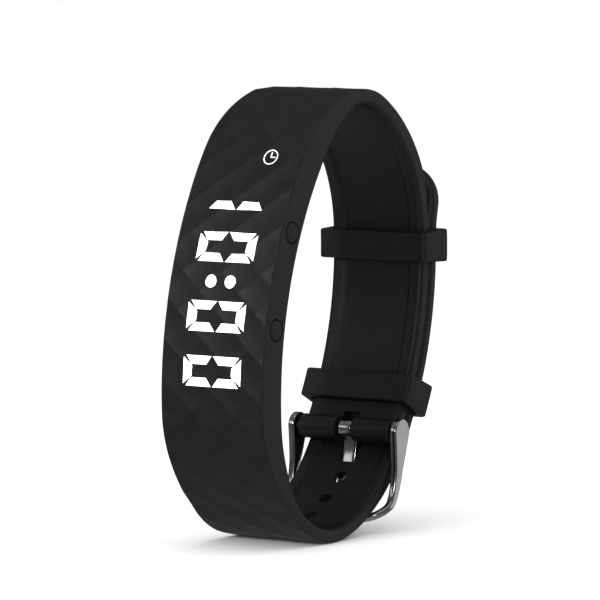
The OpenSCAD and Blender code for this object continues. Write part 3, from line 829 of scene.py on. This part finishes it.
def buckle_frame():
    """One polished loop of metal with blind bores for the spring bar's ends and a seat for the tang."""
    right = np.array(cheek_rings() + bend_rings())
    left = right[-2::-1] * [-1, 1, 1]
    frame_piece = tube_object("buckle_frame_polished", np.concatenate([right, left]))
    bore = [(-PIN_BORE_END, PIN_BORE_R), (PIN_BORE_END, PIN_BORE_R)]
    boolean(frame_piece, turned("bore", bore, BAR_AT, 32), "DIFFERENCE")
    half_t = TANG_T / 2 + 0.1
    seat = sector("seat", TANG_CENTRE, TANG_ARC_R - half_t, TANG_ARC_R + half_t, TANG_A0 - 2, TANG_A1,
                  TANG_W / 2 + 0.2, 16)
    boolean(frame_piece, seat, "DIFFERENCE")
    shade(frame_piece, 32)
    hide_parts("buckle_frame")
    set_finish(frame_piece, "buckle_chrome")
    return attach(frame_piece, "buckle_frame")


def buckle_tang():
    """A strip curled into a loop round the spring bar, with a rounded tip."""
    rings = []
    shares = np.r_[0, 0.004, 0.012, 0.03, 0.06, np.linspace(0.1, 1, 22)]
    for share in shares:
        a = TANG_A0 + (TANG_A1 - TANG_A0) * share
        left = min(1, share / 0.07)
        full = 0.25 + 0.75 * math.sqrt(1 - (1 - left) ** 2)
        half_w, half_t = TANG_W / 2 * full, TANG_T / 2 * (0.5 + 0.5 * full)
        ring = []
        for t in np.radians(np.arange(0, 360, 12)):
            c, s = math.cos(t), math.sin(t)
            x = half_w * math.copysign(abs(c) ** 0.45, c)
            r = TANG_ARC_R + half_t * math.copysign(abs(s) ** 0.45, s)
            ring.append((x, *(TANG_CENTRE + r * direction(a))))
        rings.append(ring)
    tang = tube_object("buckle_tang_polished", rings)
    boolean(tang, drum(TANG_W / 2, TANG_EYE_R, TANG_EDGE_R, 5, 48), "UNION")
    bore = [(-2, TANG_LOOP_R), (2, TANG_LOOP_R)]
    boolean(tang, turned("bore", bore, BAR_AT, 40), "DIFFERENCE")
    shade(tang, 40)
    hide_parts("buckle_tang")
    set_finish(tang, "buckle_chrome")
    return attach(tang, "buckle_tang")


# ---- Keepers -----------------------------------------------------------------------------------
KEEPER_LEN = 5.2
KEEPER_WALL = 1.3
KEEPER_GAP = 0.15
KEEPER_R0 = BACK_R - KEEPER_GAP
KEEPER_R1 = OUTER_R + OUTER_STRAP_T + KEEPER_GAP
KEEPER_HALF = STRAP_HALF + KEEPER_GAP + 0.1
KEEPER_UPPER_A = 0.6
KEEPER_LOWER_A = -24.4


def rounded_rectangle(x0, x1, y0, y1, radii, steps=6, straight=6):
    """A rectangle with its own radius at each corner, as points with the same count for any size."""
    corners = [(x1, y1, 0), (x0, y1, 90), (x0, y0, 180), (x1, y0, 270)]
    points = []
    for (x, y, start), r in zip(corners, radii):
        cx = x - math.copysign(r, x - (x0 + x1) / 2)
        cy = y - math.copysign(r, y - (y0 + y1) / 2)
        arc = [np.array([cx, cy]) + r * direction(start + 90 * k / steps) for k in range(steps + 1)]
        if points:
            last = points[-1]
            points += [last + (arc[0] - last) * k / straight for k in range(1, straight)]
        points += arc
    last, first = points[-1], points[0]
    return np.array(points + [last + (first - last) * k / straight for k in range(1, straight)])


def keeper(name, angle, node):
    """A moulded loop round both straps, with soft edges: the profile of its wall, carried round them."""
    wall = KEEPER_WALL
    inner = rounded_rectangle(KEEPER_R0, KEEPER_R1, -KEEPER_HALF, KEEPER_HALF, (0.35,) * 4)
    outer = rounded_rectangle(KEEPER_R0 - wall, KEEPER_R1 + wall, -KEEPER_HALF - wall, KEEPER_HALF + wall,
                              (1.0, 0.7, 0.7, 1.0))
    profile = rounded_rectangle(0, wall, -KEEPER_LEN / 2, KEEPER_LEN / 2, (0.35, 0.3, 0.3, 0.35), 5, 4)
    mean_r = BACK_R + INNER_STRAP_T
    verts = []
    for w, along in profile:
        loop = inner + (outer - inner) * (w / wall)
        a = angle + math.degrees(along / mean_r)
        verts += [(x, *(BACK_CENTRE + r * direction(a))) for r, x in loop]
    rows, cols = len(profile), len(inner)
    faces = grid_faces(rows, cols)
    faces += [((rows - 1) * cols + j, (rows - 1) * cols + (j + 1) % cols, (j + 1) % cols, j)
              for j in range(cols)]
    obj = make_object(name, verts, faces, 60)
    face_outward(obj)
    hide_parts(node)
    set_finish(obj, "keeper_silicone")
    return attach(obj, node)


# ---- Materials ---------------------------------------------------------------------------------
def new_surface(name):
    material = bpy.data.materials.new(name)
    material.use_nodes = True
    return material, material.node_tree, material.node_tree.nodes["Principled BSDF"]


def add_node(tree, kind, inputs=()):
    """A new node with some of its inputs set."""
    node = tree.nodes.new(kind)
    for key, value in dict(inputs).items():
        node.inputs[key].default_value = value
    return node


def noise(tree, scale, detail=4.0, squeeze=(1, 1, 1), distortion=0.0):
    """Noise in the object's own space, with features of 1/scale metres."""
    place = add_node(tree, "ShaderNodeTexCoord")
    mapping = add_node(tree, "ShaderNodeMapping", {"Scale": squeeze})
    node = add_node(tree, "ShaderNodeTexNoise",
                    {"Scale": scale, "Detail": detail, "Roughness": 0.6, "Distortion": distortion})
    tree.links.new(place.outputs["Object"], mapping.inputs["Vector"])
    tree.links.new(mapping.outputs["Vector"], node.inputs["Vector"])
    return node.outputs["Fac"]


def tint(tree, shader, fac, dark, light, low=0.35, high=0.65):
    """Base colour that varies between two tones."""
    tones = add_node(tree, "ShaderNodeValToRGB")
    tones.color_ramp.elements[0].position = low
    tones.color_ramp.elements[1].position = high
    tones.color_ramp.elements[0].color = (*dark, 1)
    tones.color_ramp.elements[1].color = (*light, 1)
    tree.links.new(fac, tones.inputs["Fac"])
    tree.links.new(tones.outputs["Color"], shader.inputs["Base Color"])


def vary_roughness(tree, shader, fac, low, high):
    """Roughness that varies between two levels."""
    span = add_node(tree, "ShaderNodeMapRange",
                    {"From Min": 0.3, "From Max": 0.7, "To Min": low, "To Max": high})
    tree.links.new(fac, span.inputs["Value"])
    tree.links.new(span.outputs["Result"], shader.inputs["Roughness"])


def bumps(tree, shader, layers):
    """Bump layers (height output, strength, distance in metres), one on another."""
    last = None
    for height, strength, distance in layers:
        node = add_node(tree, "ShaderNodeBump", {"Strength": strength, "Distance": distance})
        tree.links.new(height, node.inputs["Height"])
        if last:
            tree.links.new(last, node.inputs["Normal"])
        last = node.outputs["Normal"]
    tree.links.new(last, shader.inputs["Normal"])


def silicone(name, dark, light, rough):
    """Matt moulded silicone: a fine spark-eroded grain, faint mottling and a little dust in its tone."""
    material, tree, shader = new_surface(name)
    mottle = noise(tree, 420, 5, distortion=0.4)
    grain = noise(tree, 9000, 2)
    tint(tree, shader, mottle, dark, light)
    vary_roughness(tree, shader, mottle, rough - 0.04, rough + 0.05)
    bumps(tree, shader, [(noise(tree, 260, 2), 0.25, 0.0001), (grain, 0.35, 0.00002)])
    shader.inputs["Specular IOR Level"].default_value = 0.42
    return material


def plastic(name, dark, light, rough, grain_scale=7000, level=0.45):
    material, tree, shader = new_surface(name)
    cloud = noise(tree, 500, 4)
    tint(tree, shader, cloud, dark, light)
    vary_roughness(tree, shader, cloud, rough - 0.05, rough + 0.06)
    bumps(tree, shader, [(noise(tree, grain_scale, 3), 0.3, 0.00002)])
    shader.inputs["Specular IOR Level"].default_value = level
    return material


def metal(name, dark, light, rough, scale, bump, squeeze=(1, 1, 1)):
    """Metal with smudges in its tone, and fine lines if its noise is squeezed along one axis."""
    material, tree, shader = new_surface(name)
    shader.inputs["Metallic"].default_value = 1.0
    lines = noise(tree, scale, 3, squeeze)
    smudge = noise(tree, 350, 3, distortion=0.5)
    tint(tree, shader, smudge, dark, light)
    vary_roughness(tree, shader, smudge, rough * 0.8, rough * 1.3)
    bumps(tree, shader, [(lines, bump, 0.00001)])
    return material


def lit(name, colour, strength):
    """Translucent silicone lit from behind, with the faint cloudiness of its diffuser."""
    material, tree, shader = new_surface(name)
    cloud = noise(tree, 900, 2)
    tint(tree, shader, cloud, (0.7, 0.7, 0.7), (0.8, 0.8, 0.8))
    tones = add_node(tree, "ShaderNodeValToRGB")
    tones.color_ramp.elements[0].color = (*[0.97 * c for c in colour], 1)
    tones.color_ramp.elements[1].color = (*colour, 1)
    tree.links.new(cloud, tones.inputs["Fac"])
    tree.links.new(tones.outputs["Color"], shader.inputs["Emission Color"])
    shader.inputs["Emission Strength"].default_value = strength
    shader.inputs["Roughness"].default_value = 0.6
    shader.inputs["Specular IOR Level"].default_value = 0.2
    return material


def circuit_board(name):
    """Green solder mask over faint copper tracks."""
    material, tree, shader = new_surface(name)
    place = add_node(tree, "ShaderNodeTexCoord")
    tracks = add_node(tree, "ShaderNodeTexBrick",
                      {"Scale": 900.0, "Mortar Size": 0.03, "Color1": (0.012, 0.075, 0.035, 1),
                       "Color2": (0.016, 0.1, 0.045, 1), "Mortar": (0.04, 0.2, 0.07, 1)})
    tree.links.new(place.outputs["Object"], tracks.inputs["Vector"])
    tree.links.new(tracks.outputs["Color"], shader.inputs["Base Color"])
    vary_roughness(tree, shader, noise(tree, 2500, 3), 0.28, 0.42)
    bumps(tree, shader, [(tracks.outputs["Fac"], 0.4, 0.00002)])
    return material


def foam(name):
    material, tree, shader = new_surface(name)
    place = add_node(tree, "ShaderNodeTexCoord")
    cells = add_node(tree, "ShaderNodeTexVoronoi", {"Scale": 5000.0})
    tree.links.new(place.outputs["Object"], cells.inputs["Vector"])
    tint(tree, shader, cells.outputs["Distance"], (0.03, 0.03, 0.03), (0.06, 0.06, 0.062), 0.1, 0.6)
    bumps(tree, shader, [(cells.outputs["Distance"], 0.6, 0.00008)])
    shader.inputs["Roughness"].default_value = 0.9
    return material


BAND_TONES = ((0.0054, 0.0054, 0.006), (0.0074, 0.0074, 0.008))
KEEPER_TONES = ((0.0052, 0.0052, 0.0058), (0.0074, 0.0074, 0.008))
# Squeezes noise along X, so that its lines run in the Y-Z plane.
SQUEEZED_IN_X = (12, 1, 1)


def make_materials():
    """One material for each slot of the record."""
    recipes = {
        "band_silicone": (silicone, *BAND_TONES, 0.47),
        "keeper_silicone": (silicone, *KEEPER_TONES, 0.52),
        "button_silicone": (silicone, *BAND_TONES, 0.47),
        "shell_plastic": (plastic, (0.014, 0.014, 0.015), (0.02, 0.02, 0.021), 0.5),
        "seal_rubber": (plastic, (0.2, 0.03, 0.018), (0.28, 0.045, 0.025), 0.6),
        "white_plastic": (plastic, (0.72, 0.71, 0.66), (0.82, 0.81, 0.77), 0.45),
        "lit_segments": (lit, (1.0, 1.0, 1.0), 1.6),
        "lit_icon": (lit, (0.66, 0.66, 0.67), 1.0),
        "led_package": (plastic, (0.75, 0.62, 0.25), (0.9, 0.8, 0.4), 0.2, 7000, 0.6),
        "circuit_board": (circuit_board,),
        "chip_plastic": (plastic, (0.02, 0.02, 0.023), (0.035, 0.035, 0.038), 0.55, 14000),
        "flex_film": (plastic, (0.35, 0.11, 0.015), (0.48, 0.18, 0.03), 0.25, 7000, 0.6),
        "battery_foil": (metal, (0.5, 0.52, 0.55), (0.62, 0.64, 0.67), 0.35, 1800, 0.3),
        "foam": (foam,),
        "weight_alloy": (metal, (0.26, 0.24, 0.2), (0.36, 0.33, 0.28), 0.5, 5000, 0.4),
        "gold_plate": (metal, (0.78, 0.53, 0.2), (0.88, 0.64, 0.28), 0.22, 6000, 0.12),
        "plunger_plastic": (plastic, (0.28, 0.04, 0.03), (0.38, 0.06, 0.045), 0.35),
        "steel": (metal, (0.5, 0.5, 0.51), (0.64, 0.64, 0.65), 0.28, 2500, 0.25, SQUEEZED_IN_X),
        "buckle_chrome": (metal, (0.5, 0.495, 0.48), (0.58, 0.57, 0.55), 0.13, 2200, 0.06, SQUEEZED_IN_X),
    }
    return {name: make(name, *settings) for name, (make, *settings) in recipes.items()}


def dress(materials):
    """Gives each carried-over CAD node and each new piece the material of its slot."""
    slots = {part["node"]: part["material_slot"] for part in frame["record"]["subparts"]}
    for node, obj in frame["nodes"].items():
        obj.data.materials.clear()
        obj.data.materials.append(materials[slots[node]])
    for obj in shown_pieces():
        if "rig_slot" in obj:
            obj.data.materials.clear()
            obj.data.materials.append(materials[obj["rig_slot"]])


# ---- Setting, light and camera -----------------------------------------------------------------
VIEW_AZIMUTH = 35.0
VIEW_ELEVATION = 4.76
VIEW_DISTANCE = 0.803
VIEW_TARGET = Vector((0, -0.0015, 0.002))
LENS = 293.8
SENSOR = 36.0
FLOOR_REACH = 40


def towards(azimuth, elevation):
    """Unit vector from the object towards a viewer: azimuth 0 is in front of the display."""
    a, e = math.radians(azimuth), math.radians(elevation)
    return Vector((math.sin(a) * math.cos(e), -math.cos(a) * math.cos(e), math.sin(e)))


def make_camera():
    data = bpy.data.cameras.new("camera")
    data.lens = LENS
    data.sensor_width = SENSOR
    data.clip_start = 0.01
    data.clip_end = 60
    camera = bpy.data.objects.new("camera", data)
    back = towards(VIEW_AZIMUTH, VIEW_ELEVATION)
    camera.location = VIEW_TARGET + back * VIEW_DISTANCE
    camera.rotation_mode = "QUATERNION"
    camera.rotation_quaternion = (-back).to_track_quat("-Z", "Y")
    bpy.context.scene.collection.objects.link(camera)
    bpy.context.scene.camera = camera


def softbox(name, azimuth, elevation, distance, size, power):
    """An area light that faces the origin. Its size is in metres and its power in watts."""
    data = bpy.data.lights.new(name, "AREA")
    data.shape = "RECTANGLE"
    data.size, data.size_y = size
    data.energy = power
    light = bpy.data.objects.new(name, data)
    back = towards(azimuth, elevation)
    light.location = back * distance
    light.rotation_mode = "QUATERNION"
    light.rotation_quaternion = back.to_track_quat("Z", "Y")
    light.visible_camera = False
    bpy.context.scene.collection.objects.link(light)


def make_floor():
    """A plain pale floor that runs back to the horizon, at the height of the band's lowest point."""
    mesh = bpy.data.meshes.new("floor")
    sides = ((-1, -1), (1, -1), (1, 1), (-1, 1))
    corners = [(x * FLOOR_REACH, y * FLOOR_REACH, cad_box[0][2]) for x, y in sides]
    mesh.from_pydata(corners, [], [(0, 1, 2, 3)])
    floor = bpy.data.objects.new("floor", mesh)
    bpy.context.scene.collection.objects.link(floor)
    material, tree, shader = new_surface("floor")
    tint(tree, shader, noise(tree, 3, 3), (0.93, 0.93, 0.93), (0.96, 0.96, 0.96))
    shader.inputs["Roughness"].default_value = 0.9
    shader.inputs["Specular IOR Level"].default_value = 0.1
    mesh.materials.append(material)
    floor.visible_glossy = False


def make_world():
    """White to the camera and to diffuse light. In reflections, a dim room, lighter above and below."""
    world = bpy.data.worlds.new("studio")
    bpy.context.scene.world = world
    world.use_nodes = True
    world.cycles.sampling_method = "NONE"
    tree = world.node_tree
    tree.nodes.clear()
    place = add_node(tree, "ShaderNodeTexCoord")
    split = add_node(tree, "ShaderNodeSeparateXYZ")
    rise = add_node(tree, "ShaderNodeMapRange", {"From Min": -1.0, "From Max": 1.0})
    tones = add_node(tree, "ShaderNodeValToRGB")
    stops = tones.color_ramp.elements
    stops[0].position, stops[0].color = 0.0, (0.32, 0.32, 0.32, 1)
    stops[1].position, stops[1].color = 1.0, (0.2, 0.2, 0.2, 1)
    level = stops.new(0.5)
    level.color = (0.07, 0.07, 0.07, 1)
    rays = add_node(tree, "ShaderNodeLightPath")
    room = add_node(tree, "ShaderNodeBackground")
    white = add_node(tree, "ShaderNodeBackground", {"Color": (1, 1, 1, 1), "Strength": 1.1})
    mix = add_node(tree, "ShaderNodeMixShader")
    out = add_node(tree, "ShaderNodeOutputWorld")
    links = [
        (place.outputs["Generated"], split.inputs[0]),
        (split.outputs["Z"], rise.inputs["Value"]),
        (rise.outputs["Result"], tones.inputs["Fac"]),
        (tones.outputs["Color"], room.inputs["Color"]),
        (rays.outputs["Is Glossy Ray"], mix.inputs["Fac"]),
        (white.outputs[0], mix.inputs[1]),
        (room.outputs[0], mix.inputs[2]),
        (mix.outputs[0], out.inputs["Surface"]),
    ]
    for source, target in links:
        tree.links.new(source, target)


def make_studio():
    make_floor()
    make_world()
    softbox("front_key", -4, 23, 1.2, (0.18, 0.22), 4.6)
    softbox("left_fill", -40, 20, 0.9, (0.3, 0.24), 0.22)
    softbox("top", 20, 78, 1.0, (0.7, 0.7), 1.0)
    softbox("near_camera", 38, 12, 1.0, (0.12, 0.12), 1.1)
    softbox("right_back", 145, 8, 1.0, (0.6, 0.8), 0.8)
    bpy.context.scene.view_settings.view_transform = "Standard"
    bpy.context.scene.view_settings.look = "None"


make_camera()
silicone_band()
lit_display()
button("button_upper_cap", BUTTON_ANGLES[0], "button_upper")
button("button_lower_cap", BUTTON_ANGLES[1], "button_lower")
buckle_frame()
buckle_tang()
keeper("keeper_upper_loop", KEEPER_UPPER_A, "keeper_upper")
keeper("keeper_lower_loop", KEEPER_LOWER_A, "keeper_lower")
dress(make_materials())
make_studio()
